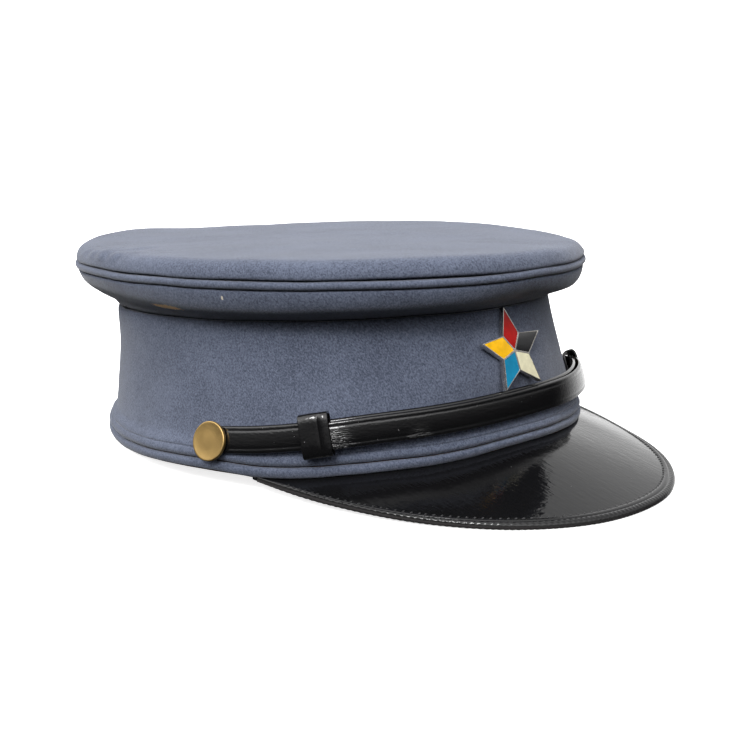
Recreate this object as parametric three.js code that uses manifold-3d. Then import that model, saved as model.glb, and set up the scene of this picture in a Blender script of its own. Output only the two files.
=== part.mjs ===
import * as THREE from "three";
import { mergeVertices } from "three/addons/utils/BufferGeometryUtils.js";
import Module from "manifold-3d";

const wasm = await Module();
wasm.setup();

// Peaked wool cap standing on the back of its rim and on the edge of its peak.
// Millimetres, the peak points to -Y, the wearer's right is -X, the table is z = 0.
// Angles are in degrees round the head: 0 at the front, positive on the wearer's right.

// Main sizes
const stepsRound = 56;
const seamGap = 0.3;
const clothThickness = 2.2;
const bandThickness = 2.6;
const sweatbandThickness = 1.3;
const peakThickness = 1.2;
const strapWidth = 9.4;
const strapThickness = 1.5;
const postRadius = 1.2;

// Three level ovals of the cloth body; tilt is how far the front stands up, in degrees
const rimOval = { halfWidth: 92.3, halfLength: 102.6, setBack: 0, height: 5.9, tilt: 3.4 };
const waistOval = { halfWidth: 80.8, halfLength: 94.6, setBack: 7, height: 55.6, tilt: 2.3 };
const edgeOval = { halfWidth: 92.8, halfLength: 112.85, setBack: 11.1, height: 68.5, tilt: 0.85 };

// Soft waves of the rim: angle, rise
const rimWaves = [
  [0, 2],
  [30, -0.2],
  [58, -2],
  [72, -0.8],
  [92, -0.9],
  [122, 0],
  [150, -0.1],
  [180, 0],
];

// Dents in the rolled edge of the crown, and where it stands fuller: angle, spread, depth
const crownDents = [
  [126, 30, 0.25],
  [-130, 30, 0.75],
  [-45, 40, 1.4],
  [112, 5, 0.4],
  [-150, 9, 0.6],
  [168, 12, -0.4],
  [150, 14, -0.7],
  [-172, 14, 1.4],
  [-100, 16, -0.7],
];

// Sections of the cloth pieces from below upwards: share of width, share of height, outward
const weltRows = [
  [0.005, 0.012, -3.2],
  [0, 0, -1.5],
  [0.022, 0.022, -0.2],
  [0.047, 0.047, 0.3],
  [0.066, 0.066, -0.6],
];
const bandRows = [
  [0.074, 0.074, -0.6],
  [0.105, 0.105, 0.4],
  [0.145, 0.145, -0.2],
  [0.19, 0.19, -1.7],
  [0.25, 0.25, -2.1],
  [0.5, 0.5, -1.9],
  [0.8, 0.8, -1.4],
  [0.995, 0.992, -0.3],
];
const sideRows = [
  [0.02, 0.012, 0],
  [0.14, 0.17, 0],
  [0.415, 0.32, 0],
  [0.61, 0.46, 0],
  [0.79, 0.59, 0],
  [0.9, 0.72, 0],
  [0.96, 0.85, 0],
  [0.99, 0.94, 0],
  [0.985, 0.985, 0],
];

// Sections of the welt and the top of the crown: share of the edge oval, outward, rise
const pipingRows = [
  [1, -0.1, 0.1],
  [1, 0.7, 0.4],
  [1, 1, 1.5],
  [1, 0.7, 2.6],
  [1, -0.1, 2.9],
];
const topRows = [
  [1, -0.1, 3.2],
  [1, 0.4, 4],
  [1, 0.1, 5.6],
  [1, -0.9, 7.5],
  [1, -2.6, 8.9],
  [1, -5.8, 9.55],
  [1, -14, 9.6],
  [0.6, 0, 9.4],
  [0.3, 0, 9.3],
  [0, 0, 9.3],
];

// Outer edge of the peak on one side: angle at the root, sideways, forward, height of the sheet
const peakEdgeRows = [
  [0, 0, -147.6, 1.15],
  [13, 22.5, -143.2, 1.15],
  [27, 43.9, -128.7, 1.35],
  [41, 60.8, -106.2, 2],
  [53, 73, -78, 3.8],
  [61.5, 80.2, -48.6, 6.4],
];

// Chin strap on the band: angle, height share of its middle, outward at its lower and upper edge
const strapRows = [
  [-73, 0.178, 0.7, -1.5],
  [-62, 0.235, 1.1, -0.2],
  [-48.5, 0.295, 1.3, 1.2],
  [-35, 0.312, 0.6, 0.4],
  [-18, 0.315, -0.5, -0.9],
  [0, 0.318, -1.2, -1.5],
  [20, 0.308, -0.6, -1.2],
  [35, 0.282, 0.8, -0.5],
  [48.5, 0.246, 1.8, 0.3],
  [60, 0.213, 1.2, -0.7],
  [73, 0.178, 0.7, -1.5],
];
const doubledRise = 2.1;
const doubledDrop = 0.006;
const slideAngles = { slide_right: 47.3, slide_left: -48.5 };
const slideWidth = 10.5;

const radians = THREE.MathUtils.degToRad;
const mix = THREE.MathUtils.lerp;

// Value from a table whose first column is an angle, smoothed between rows
function lookUp(rows, angle, column) {
  const after = rows.findIndex((row) => row[0] >= angle);
  if (after < 0) return rows[rows.length - 1][column];
  if (after === 0) return rows[0][column];
  const low = rows[after - 1];
  const high = rows[after];
  const share = THREE.MathUtils.smoothstep(angle, low[0], high[0]);
  return mix(low[column], high[column], share);
}

// Point of a level oval
function ovalPoint(oval, angle, outward) {
  const turn = radians(angle);
  const tilt = radians(oval.tilt);
  const width = oval.halfWidth + outward;
  const length = oval.halfLength + outward;
  const forward = length * Math.cos(turn);
  return new THREE.Vector3(
    -width * Math.sin(turn),
    oval.setBack - forward * Math.cos(tilt),
    oval.height + forward * Math.sin(tilt),
  );
}

// Oval between two others
function blendOval(low, high, wide, tall) {
  return {
    halfWidth: mix(low.halfWidth, high.halfWidth, wide),
    halfLength: mix(low.halfLength, high.halfLength, wide),
    setBack: mix(low.setBack, high.setBack, wide),
    height: mix(low.height, high.height, tall),
    tilt: mix(low.tilt, high.tilt, tall),
  };
}

// Point of the head band, with the waves of the rim fading upwards
function bandPoint(angle, wide, tall, outward) {
  const point = ovalPoint(blendOval(rimOval, waistOval, wide, tall), angle, outward);
  const wave = lookUp(rimWaves, Math.abs(THREE.MathUtils.euclideanModulo(angle + 180, 360) - 180), 1);
  point.z += wave * Math.max(0, 1 - tall / 0.4);
  return point;
}

function sidePoint(angle, wide, tall, outward) {
  return ovalPoint(blendOval(waistOval, edgeOval, wide, tall), angle, outward);
}

// Point of the upper crown, with its dents
function crownPoint(angle, share, outward, rise) {
  const oval = {
    ...edgeOval,
    halfWidth: edgeOval.halfWidth * share,
    halfLength: edgeOval.halfLength * share,
    height: edgeOval.height + rise,
  };
  const point = ovalPoint(oval, angle, share > 0 ? outward : 0);
  const edge = THREE.MathUtils.smoothstep(rise, 3.5, 7.6) * THREE.MathUtils.smoothstep(share, 0.6, 1);
  for (const [middle, spread, depth] of crownDents) {
    const away = THREE.MathUtils.euclideanModulo(angle - middle + 180, 360) - 180;
    point.z -= depth * edge * Math.exp(-((away / spread) ** 2));
  }
  return point;
}

// Points of a section that runs upwards, moved in through the cloth, for the rows asked for
function movedIn(points, wanted, angle, thickness) {
  const out = new THREE.Vector3(-Math.sin(radians(angle)), -Math.cos(radians(angle)), 0);
  return wanted.map((index) => {
    const along = points[index + 1].clone().sub(points[index - 1]);
    const outward = along.dot(out);
    const length = Math.hypot(outward, along.z);
    const moved = points[index].clone().addScaledVector(out, (-thickness * along.z) / length);
    moved.z += (thickness * outward) / length;
    return moved;
  });
}

// Closed surface from triangles, with points that fall together joined
function closedSurface(points, triangles) {
  const positions = new Float32Array(points.flatMap((point) => point.toArray()));
  const geometry = new THREE.BufferGeometry();
  geometry.setAttribute("position", new THREE.BufferAttribute(positions, 3));
  geometry.setIndex(triangles);
  const joined = mergeVertices(geometry, 1e-3);
  const index = joined.index.array;
  const kept = [];
  for (let i = 0; i < index.length; i += 3) {
    const [a, b, c] = index.slice(i, i + 3);
    if (a !== b && b !== c && a !== c) kept.push(a, b, c);
  }
  joined.setIndex(kept);
  if (volumeOf(joined) < 0) {
    for (let i = 0; i < kept.length; i += 3) [kept[i], kept[i + 1]] = [kept[i + 1], kept[i]];
    joined.setIndex(kept);
  }
  return joined;
}

function volumeOf(geometry) {
  const position = geometry.attributes.position;
  const index = geometry.index.array;
  const corner = [0, 1, 2].map(() => new THREE.Vector3());
  let volume = 0;
  for (let i = 0; i < index.length; i += 3) {
    corner.forEach((point, j) => point.fromBufferAttribute(position, index[i + j]));
    volume += corner[0].dot(corner[1].clone().cross(corner[2])) / 6;
  }
  return volume;
}

// Skin through like sections; a loop closes on its first section, an open one gets end faces
function loft(sections, outline) {
  const count = sections[0].length;
  const strips = outline ? sections.length - 1 : sections.length;
  const triangles = [];
  for (let k = 0; k < strips; k++) {
    const next = (k + 1) % sections.length;
    for (let j = 0; j < count; j++) {
      const a = k * count + j;
      const b = k * count + ((j + 1) % count);
      const c = next * count + ((j + 1) % count);
      const d = next * count + j;
      triangles.push(a, b, c, a, c, d);
    }
  }
  if (outline) {
    const last = (sections.length - 1) * count;
    for (const [a, b, c] of THREE.ShapeUtils.triangulateShape(outline, [])) {
      triangles.push(a, c, b, last + a, last + b, last + c);
    }
  }
  return closedSurface(sections.flat(), triangles);
}

// Cloth ring: rows of its outside, then of its inside the lowest row,
// the outside rows it follows at an even thickness, and the highest row
function clothRing(pointAt, rows, lowest, followed, highest, thickness) {
  const sections = [];
  for (let k = 0; k < stepsRound; k++) {
    const angle = (360 * k) / stepsRound;
    const outside = rows.map((row) => pointAt(angle, ...row));
    const inside = movedIn(outside, followed, angle, thickness);
    sections.push([...outside, pointAt(angle, ...highest), ...inside.reverse(), pointAt(angle, ...lowest)]);
  }
  return loft(sections);
}

// Boolean work
function solidOf(geometry) {
  const plain = geometry.clone();
  plain.deleteAttribute("normal");
  plain.deleteAttribute("uv");
  const joined = mergeVertices(plain, 1e-3);
  return new wasm.Manifold(
    new wasm.Mesh({
      numProp: 3,
      vertProperties: joined.attributes.position.array,
      triVerts: new Uint32Array(joined.index.array),
    }),
  );
}

function geometryOf(solid) {
  const mesh = solid.getMesh();
  const geometry = new THREE.BufferGeometry();
  geometry.setAttribute("position", new THREE.BufferAttribute(mesh.vertProperties, 3));
  geometry.setIndex(new THREE.BufferAttribute(mesh.triVerts, 1));
  return geometry;
}

function cutBy(geometry, ...tools) {
  return geometryOf(tools.reduce((rest, tool) => rest.subtract(solidOf(tool)), solidOf(geometry)));
}

// Everything below the table, so that soft edges lie flat on it
const belowTable = new THREE.BoxGeometry(600, 600, 100).translate(0, 0, -50);

// Materials
const cloth = { color: 0x5b6378, roughness: 0.95, metalness: 0 };
const patent = { color: 0x0d0d0f, roughness: 0.15, metalness: 0 };
const leather = { color: 0x4a2a1c, roughness: 0.7, metalness: 0 };
const brass = { color: 0xa98b52, roughness: 0.4, metalness: 1 };
const nickel = { color: 0xb9b4aa, roughness: 0.3, metalness: 1 };

const cap = new THREE.Group();
cap.name = "peaked_cap";

function addPiece(name, geometry, finish) {
  const mesh = new THREE.Mesh(geometry, new THREE.MeshStandardMaterial(finish));
  mesh.name = name;
  cap.add(mesh);
}

// Frame of a flat piece on the band, whose edges lie at two heights: middle, along, up and out of the band
function bandFrame(edgesAt, angle) {
  const middleAt = (place) => edgesAt(place)[0].add(edgesAt(place)[1]).multiplyScalar(0.5);
  const [lower, upper] = edgesAt(angle);
  const along = middleAt(angle - 1).sub(middleAt(angle + 1)).normalize();
  const up = upper.sub(lower);
  up.addScaledVector(along, -along.dot(up)).normalize();
  return { middle: middleAt(angle), along, up, out: along.clone().cross(up) };
}

function placed(geometry, { middle, along, up, out }) {
  return geometry.applyMatrix4(new THREE.Matrix4().makeBasis(along, up, out).setPosition(middle));
}

// Chin strap: two lengths with ridged borders, doubled between the slides
const half = strapWidth / 2;
const strapOutline = [
  [-half, 0],
  [half, 0],
  [half, 0.9],
  [half - 0.4, strapThickness],
  [half - 1.2, strapThickness],
  [half - 1.6, strapThickness - 0.4],
  [1.6 - half, strapThickness - 0.4],
  [1.2 - half, strapThickness],
  [0.4 - half, strapThickness],
  [-half, 0.9],
].map(([x, y]) => new THREE.Vector2(x, y));

// How far the left length stands off its own place: over the right length, down to the band at its button
function doubled(angle) {
  return THREE.MathUtils.smoothstep(angle, -66, -52);
}

function strapFrame(angle, layer) {
  const reach = half / (waistOval.height - rimOval.height);
  return bandFrame((place) => {
    const [tall, lower, upper] = [1, 2, 3].map((column) => lookUp(strapRows, place, column));
    const low = tall - layer * doubledDrop - reach;
    const high = low + 2 * reach;
    return [
      bandPoint(place, low, low, lower + layer * doubledRise),
      bandPoint(place, high, high, upper + layer * doubledRise),
    ];
  }, angle);
}

function strapLength(from, to, layerAt) {
  const steps = 36;
  const sections = [];
  for (let k = 0; k <= steps; k++) {
    const angle = mix(from, to, k / steps);
    const { middle, up, out } = strapFrame(angle, layerAt(angle));
    sections.push(
      strapOutline.map((point) => middle.clone().addScaledVector(up, point.x).addScaledVector(out, point.y)),
    );
  }
  return loft(sections, strapOutline);
}

// Brass buttons: a turned disc with a raised rim and a post through strap and band
const buttonRadius = 7.2;
const buttonProfile = [
  [0, -5.5],
  [postRadius, -5.5],
  [postRadius, 0],
  [buttonRadius - 1.2, 0],
  [buttonRadius - 0.3, 0.3],
  [buttonRadius, 0.7],
  [buttonRadius - 0.3, 1.2],
  [buttonRadius - 0.8, 1.35],
  [buttonRadius - 1.3, 1.2],
  [buttonRadius - 3, 1.25],
  [0, 1.3],
].map(([x, y]) => new THREE.Vector2(x, y));
const buttonAngle = 69.8;

function buttonFrame(side) {
  const frame = strapFrame(side * buttonAngle, 0);
  frame.middle.addScaledVector(frame.out, strapThickness + seamGap);
  return frame;
}

function postHole(frame) {
  const hole = new THREE.CylinderGeometry(postRadius + seamGap, postRadius + seamGap, 30, 16);
  return placed(hole.rotateX(Math.PI / 2), frame);
}

// Star badge: five points, each a raised cell wall round a filling
const starRadius = 16;
const starWaist = 7.1;
const starThickness = 2;
const cellDepth = 0.7;
const cellWall = 0.4;
const cellGap = 0.12;

function starPoint(step) {
  const radius = step % 2 ? starWaist : starRadius;
  const turn = radians(90 - 36 * step + 1.8);
  return new THREE.Vector2(radius * Math.cos(turn), radius * Math.sin(turn));
}

// Outline moved in evenly on every side
function insetOutline(points, inset) {
  return points.map((point, i) => {
    const before = points[(i + points.length - 1) % points.length];
    const after = points[(i + 1) % points.length];
    const first = point.clone().sub(before).normalize();
    const second = after.clone().sub(point).normalize();
    const turn = first.x * second.y - first.y * second.x;
    return point.clone().add(second.sub(first).multiplyScalar(inset / turn));
  });
}

function cellOutline(point, inset) {
  const corners = [new THREE.Vector2(0, 0), starPoint(point * 2 + 1), starPoint(point * 2), starPoint(point * 2 - 1)];
  return insetOutline(corners, inset);
}

function plate(outline, thickness, height) {
  const shape = new THREE.Shape(outline);
  return new THREE.ExtrudeGeometry(shape, { depth: thickness, bevelEnabled: false }).translate(0, 0, height);
}

const badgeFrame = bandFrame((place) => [bandPoint(place, 0.41, 0.41, 0.9), bandPoint(place, 0.95, 0.95, -0.1)], 0);

const postHoles = [buttonFrame(1), buttonFrame(-1), badgeFrame].map(postHole);

// Cloth body
const weltRing = clothRing(bandPoint, weltRows, [0.03, 0.03, -3.2], [], [0.066, 0.066, -3.2], 0);
const bandRing = clothRing(bandPoint, bandRows, [0.074, 0.074, -3.2], [4, 5], [1.01, 1.01, -2.7], bandThickness);
const sideRing = clothRing(sidePoint, sideRows, [0.02, 0.12, -2.4], [2, 4, 6], [0.99, 0.985, -2.2], clothThickness);
const pipingRing = clothRing(crownPoint, pipingRows, [1, -2.4, 0.1], [], [1, -2.4, 2.9], 0);
const topDisc = clothRing(crownPoint, topRows, [1, -2.2, 3.2], [4, 6, 7], [0, 0, 7.1], clothThickness);
addPiece("band_welt", cutBy(weltRing, belowTable), cloth);
addPiece("band", cutBy(bandRing, ...postHoles), cloth);
addPiece("crown_side", sideRing, cloth);
addPiece("crown_piping", pipingRing, cloth);
addPiece("crown_top", topDisc, cloth);

// Leather sweatband inside the band, its lower edge just under the rim
const sweatbandRows = [
  [0, -0.008, -3.6],
  [0.19, 0.19, -5],
  [0.5, 0.5, -5.6],
];
const sweatbandLow = [0, -0.008, -3.6 - sweatbandThickness];
const sweatbandHigh = [0.5, 0.5, -5.6 - sweatbandThickness];
const sweatbandRing = clothRing(bandPoint, sweatbandRows, sweatbandLow, [1], sweatbandHigh, sweatbandThickness);
addPiece("sweatband", cutBy(sweatbandRing, belowTable), leather);

// Peak: an arched sheet from its root under the rim to its outer edge
const peakSteps = 38;
const peakColumns = 5;
const peakArch = 1.1;
const peakRoot = -2.2;

const edgeSide = peakEdgeRows.map(([, side, forward, height]) => new THREE.Vector3(-side, forward, height));
const edgeCurve = new THREE.CatmullRomCurve3([
  ...edgeSide.slice(1).reverse(),
  ...edgeSide.map((point) => point.clone().setX(-point.x)),
]);
const rootAngles = peakEdgeRows.map((row) => row[0]);
const rootCurve = new THREE.CatmullRomCurve3(
  [...rootAngles.slice(1).reverse(), ...rootAngles.map((angle) => -angle)].map((angle) =>
    bandPoint(angle, 0, 0, peakRoot).add(new THREE.Vector3(0, 0, -seamGap - 0.1)),
  ),
);

// Middle of the sheet at a place along the edge and a share of the way out
function peakMiddle(along, across) {
  const root = rootCurve.getPoint(along);
  root.z -= peakThickness / 2;
  const edge = edgeCurve.getPoint(along);
  const width = root.distanceTo(edge);
  const point = root.lerp(edge, across);
  point.z += (peakArch * width * 4 * across * (1 - across)) / 46;
  return point;
}

function peakFrame(along, across) {
  const step = 0.004;
  const out = peakMiddle(along, across).sub(peakMiddle(along, across - step)).normalize();
  const side = peakMiddle(Math.min(along + step, 1), across).sub(peakMiddle(Math.max(along - step, 0), across));
  const up = side.cross(out).normalize();
  if (up.z < 0) up.negate();
  return { middle: peakMiddle(along, across), out, up };
}

const peakOutline = [];
for (let j = 0; j <= peakColumns; j++) peakOutline.push(new THREE.Vector2(j, -1));
for (let j = peakColumns; j >= 0; j--) peakOutline.push(new THREE.Vector2(j, 1));

const peakSections = [];
for (let k = 0; k <= peakSteps; k++) {
  peakSections.push(
    peakOutline.map(({ x, y }) => {
      const { middle, up } = peakFrame(k / peakSteps, x / peakColumns);
      return middle.addScaledVector(up, (y * peakThickness) / 2);
    }),
  );
}
addPiece("peak", loft(peakSections, peakOutline), patent);

// Binding folded over the edge of the peak; out along the sheet, up from its middle
const bindingSlot = peakThickness / 2 + 0.2;
const bindingOuter = bindingSlot + 0.5;
const bindingLip = 3.8;
const bindingOutline = [
  [0.2, bindingSlot],
  [0.2, -bindingSlot],
  [-bindingLip, -bindingSlot],
  [-bindingLip, -bindingOuter],
  [0.1, -bindingOuter],
  [0.75, 0.6 - bindingOuter],
  [0.75, bindingOuter - 0.6],
  [0.1, bindingOuter],
  [-bindingLip + 0.4, bindingOuter],
  [-bindingLip, bindingOuter - 0.2],
  [-bindingLip, bindingSlot],
].map(([x, y]) => new THREE.Vector2(x, y));
const bindingEnd = 2;
const bindingSections = [];
for (let k = bindingEnd; k <= peakSteps - bindingEnd; k++) {
  const { middle, out, up } = peakFrame(k / peakSteps, 1);
  bindingSections.push(
    bindingOutline.map(({ x, y }) => middle.clone().addScaledVector(out, x).addScaledVector(up, y)),
  );
}
addPiece("peak_binding", cutBy(loft(bindingSections, bindingOutline), belowTable), patent);

// Strap, slides and buttons
const strapRight = strapLength(73, slideAngles.slide_left - 2, () => 0);
const strapLeft = strapLength(slideAngles.slide_right + 2, -73, doubled);
addPiece("strap_right", cutBy(strapRight, ...postHoles.slice(0, 2)), patent);
addPiece("strap_left", cutBy(strapLeft, ...postHoles.slice(0, 2)), patent);

// Slide: a flat leather tube round both lengths of the strap
function slideGeometry(angle) {
  const wall = 0.8;
  const spare = 0.5;
  const low = -half - 1.7 - spare;
  const high = half + 1.5 + spare;
  const front = strapThickness * 2 + 1;
  const outer = new THREE.Shape();
  outer.moveTo(low - wall, -spare - wall);
  outer.lineTo(high + wall, -spare - wall);
  outer.lineTo(high + wall, front + wall * 0.4);
  outer.lineTo(high, front + wall);
  outer.lineTo(low, front + wall);
  outer.lineTo(low - wall, front + wall * 0.4);
  const slot = new THREE.Path();
  slot.moveTo(low, -spare);
  slot.lineTo(low, front);
  slot.lineTo(high, front);
  slot.lineTo(high, -spare);
  outer.holes.push(slot);
  const tube = new THREE.ExtrudeGeometry(outer, { depth: slideWidth, bevelEnabled: false });
  tube.translate(0, 0, -slideWidth / 2);
  const { middle, along, up, out } = strapFrame(angle, 0);
  return tube.applyMatrix4(new THREE.Matrix4().makeBasis(up, out, along).setPosition(middle));
}
for (const [name, angle] of Object.entries(slideAngles)) addPiece(name, slideGeometry(angle), patent);

addPiece("button_right", placed(new THREE.LatheGeometry(buttonProfile, 28).rotateX(Math.PI / 2), buttonFrame(1)), brass);
addPiece("button_left", placed(new THREE.LatheGeometry(buttonProfile, 28).rotateX(Math.PI / 2), buttonFrame(-1)), brass);

// Badge
const starOutline = [];
for (let step = 0; step < 10; step++) starOutline.push(starPoint(-step));
const cellColours = [
  ["enamel_red", 0, 0xb3211c],
  ["enamel_black", 1, 0x141414],
  ["enamel_white", 2, 0xe0dcc4],
  ["enamel_blue", 3, 0x1585ad],
  ["enamel_yellow", 4, 0xf0bd22],
];
const cellFloor = starThickness - cellDepth;
const pockets = cellColours.map(([, point]) => plate(cellOutline(point, cellWall).reverse(), 2, cellFloor));
const badgePost = new THREE.CylinderGeometry(postRadius, postRadius, 5, 16).rotateX(Math.PI / 2).translate(0, 0, -2);
const badgeBody = solidOf(plate(starOutline, starThickness, 0)).add(solidOf(badgePost));
addPiece("badge_star", placed(cutBy(geometryOf(badgeBody), ...pockets), badgeFrame), nickel);
for (const [name, point, color] of cellColours) {
  const filling = plate(cellOutline(point, cellWall + cellGap).reverse(), cellDepth - cellGap, cellFloor + cellGap * 0.8);
  addPiece(name, placed(filling, badgeFrame), { color, roughness: 0.15, metalness: 0 });
}

// The origin is the middle of the box round the cap, on the table
const box = new THREE.Box3().setFromObject(cap);
for (const mesh of cap.children) mesh.geometry.translate(0, -(box.min.y + box.max.y) / 2, 0);

export default cap;
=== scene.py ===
import math

import bpy
from mathutils import Matrix, Vector, noise


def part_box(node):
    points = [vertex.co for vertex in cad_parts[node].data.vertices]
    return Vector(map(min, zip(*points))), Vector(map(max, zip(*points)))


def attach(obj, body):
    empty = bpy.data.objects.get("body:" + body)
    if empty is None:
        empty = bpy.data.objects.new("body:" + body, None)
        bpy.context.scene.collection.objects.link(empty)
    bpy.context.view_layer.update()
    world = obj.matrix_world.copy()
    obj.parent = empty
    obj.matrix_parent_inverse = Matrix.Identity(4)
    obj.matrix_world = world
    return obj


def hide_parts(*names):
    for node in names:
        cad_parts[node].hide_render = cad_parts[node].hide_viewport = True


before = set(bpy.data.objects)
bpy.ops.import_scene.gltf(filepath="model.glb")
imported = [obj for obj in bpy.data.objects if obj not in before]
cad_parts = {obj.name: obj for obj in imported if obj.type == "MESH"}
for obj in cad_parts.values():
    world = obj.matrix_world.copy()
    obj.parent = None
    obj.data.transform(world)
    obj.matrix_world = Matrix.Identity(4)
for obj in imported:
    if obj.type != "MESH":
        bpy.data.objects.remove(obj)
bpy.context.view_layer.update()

# Head band: an upright strip of blue-grey melton wool joined into an oval ring and drawn in at the top.
# Its foot rolls out softly over the rim seam, and the strap presses it in a little above that.
# Angles run round the head in degrees: 0 at the front, positive on the wearer's right, which is -X.
mm = 0.001
crown_set_back = 11.1
piping_low, piping_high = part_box("crown_piping")
head_middle = (piping_low.y + piping_high.y) / 2 - crown_set_back * mm

# Level ovals of the cloth body in millimetres: half width, half length, set back, height, tilt in degrees
rim_oval = (92.3, 102.6, 0, 5.9, 3.4)
waist_oval = (80.8, 94.6, 7, 55.6, 2.3)
rim_waves = [(0, 2), (30, -0.2), (58, -2), (72, -0.8), (92, -0.9), (122, 0), (150, -0.1), (180, 0)]
head_columns = 160


def mix(first, second, share):
    return first + (second - first) * share


def eased(value, low, high):
    share = min(1, max(0, (value - low) / (high - low)))
    return share * share * (3 - 2 * share)


def hump(value, middle, spread):
    """1 at the middle, falling softly to 0 on both sides over the spread."""
    return math.exp(-(((value - middle) / spread) ** 2))


def from_front(angle):
    """Degrees round the head from the front, to either side."""
    return abs((angle + 180) % 360 - 180)


def from_table(rows, angle, column):
    """Value at an angle from rows that start with one, eased between them."""
    for low, high in zip(rows, rows[1:]):
        if angle <= high[0]:
            return mix(low[column], high[column], eased(angle, low[0], high[0]))
    return rows[-1][column]


def drawn_through(rows, angle):
    """Values at an angle of a smooth line through rows that start with one."""
    step = max((k for k in range(len(rows) - 1) if rows[k][0] <= angle), default=0)
    before, low, high, after = (rows[max(0, min(len(rows) - 1, step + k))] for k in (-1, 0, 1, 2))
    gap = high[0] - low[0]
    t = min(1, max(0, (angle - low[0]) / gap))
    values = []
    for a, b, c, d in zip(before[1:], low[1:], high[1:], after[1:]):
        leaving = (c - a) / (high[0] - before[0]) * gap
        arriving = (d - b) / (after[0] - low[0]) * gap
        bend = 3 * (c - b) - 2 * leaving - arriving
        values.append(b + t * (leaving + t * (bend + t * (2 * (b - c) + leaving + arriving))))
    return values


def curve_at(rows, share):
    """Point of a smooth curve that runs through all rows."""
    place = min(share, 0.999999) * (len(rows) - 1)
    step = int(place)
    t = place - step
    near = [rows[max(0, min(len(rows) - 1, step + k))] for k in (-1, 0, 1, 2)]
    return [
        b + 0.5 * t * (c - a + t * (2 * a - 5 * b + 4 * c - d + t * (3 * (b - c) + d - a)))
        for a, b, c, d in zip(*near)
    ]


def smoothed(rows, steps):
    """The rows of a section, with steps from each to the next."""
    count = (len(rows) - 1) * steps
    return [curve_at(rows, k / count) for k in range(count + 1)]


def oval_between(low, high, wide, tall):
    return (*(mix(low[k], high[k], wide) for k in range(3)), *(mix(low[k], high[k], tall) for k in (3, 4)))


def oval_point(oval, angle, outward):
    half_width, half_length, set_back, height, tilt = oval
    forward = (half_length + outward) * math.cos(math.radians(angle))
    x = -(half_width + outward) * math.sin(math.radians(angle))
    y = set_back - forward * math.cos(math.radians(tilt))
    z = height + forward * math.sin(math.radians(tilt))
    return Vector((x * mm, y * mm + head_middle, z * mm))


def band_point(angle, wide, tall, outward):
    """Point of the band at shares of the way from rim to waist, with the waves of the rim."""
    point = oval_point(oval_between(rim_oval, waist_oval, wide, tall), angle, outward)
    wave = from_table(rim_waves, from_front(angle), 1)
    point.z += wave * max(0, 1 - tall / 0.4) * mm
    return point


def raise_loops(name, columns, rows, place):
    """A tube of loops is extruded, and every point of each loop is laid at its place."""
    bpy.ops.object.select_all(action="DESELECT")
    bpy.ops.mesh.primitive_circle_add(vertices=columns, radius=1)
    piece = bpy.context.object
    piece.name = name
    bpy.ops.object.mode_set(mode="EDIT")
    for _ in range(rows - 1):
        bpy.ops.mesh.extrude_edges_move(TRANSFORM_OT_translate={"value": (0, 0, 1)})
    bpy.ops.object.mode_set(mode="OBJECT")
    for vertex in piece.data.vertices:
        x, y, z = vertex.co
        column = round(math.atan2(-x, -y) / math.tau * columns) % columns
        vertex.co = place(column, round(z))
    return piece


def finish_with(piece, kind, **settings):
    bpy.context.view_layer.objects.active = piece
    modifier = piece.modifiers.new(kind.lower(), kind)
    for name, value in settings.items():
        setattr(modifier, name, value)
    bpy.ops.object.modifier_apply(modifier=modifier.name)


def face_outwards(piece):
    bpy.context.view_layer.objects.active = piece
    bpy.ops.object.mode_set(mode="EDIT")
    bpy.ops.mesh.select_all(action="SELECT")
    bpy.ops.mesh.remove_doubles(threshold=0.001 * mm)
    bpy.ops.mesh.normals_make_consistent(inside=False)
    bpy.ops.object.mode_set(mode="OBJECT")


def press(piece, move):
    """Shapes the cloth: every point goes where move sends it."""
    for vertex in piece.data.vertices:
        vertex.co += move(vertex.co.copy())


# The drape is the same on every run
drape_seed = 7
noise.seed_set(drape_seed)


def soft_waves(point, size, depth):
    """Uneven drape: a smooth random push of points that lie within size of each other."""
    return noise.noise_vector(point / (size * mm)) * depth * mm


def sew_wall(name, rows, steps, point_at, thickness):
    """A cloth wall round the head from the rows of its outside, with its thickness inside."""
    fine = smoothed(rows, steps)
    wall = raise_loops(
        name, head_columns, len(fine), lambda column, row: point_at(360 * column / head_columns, *fine[row])
    )
    face_outwards(wall)
    finish_with(wall, "SOLIDIFY", thickness=thickness * mm, offset=-1)
    finish_with(wall, "SUBSURF", levels=1, render_levels=1)
    press(wall, lambda point: soft_waves(point, 26, 0.35) + soft_waves(point, 9, 0.1))
    return wall


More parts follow.
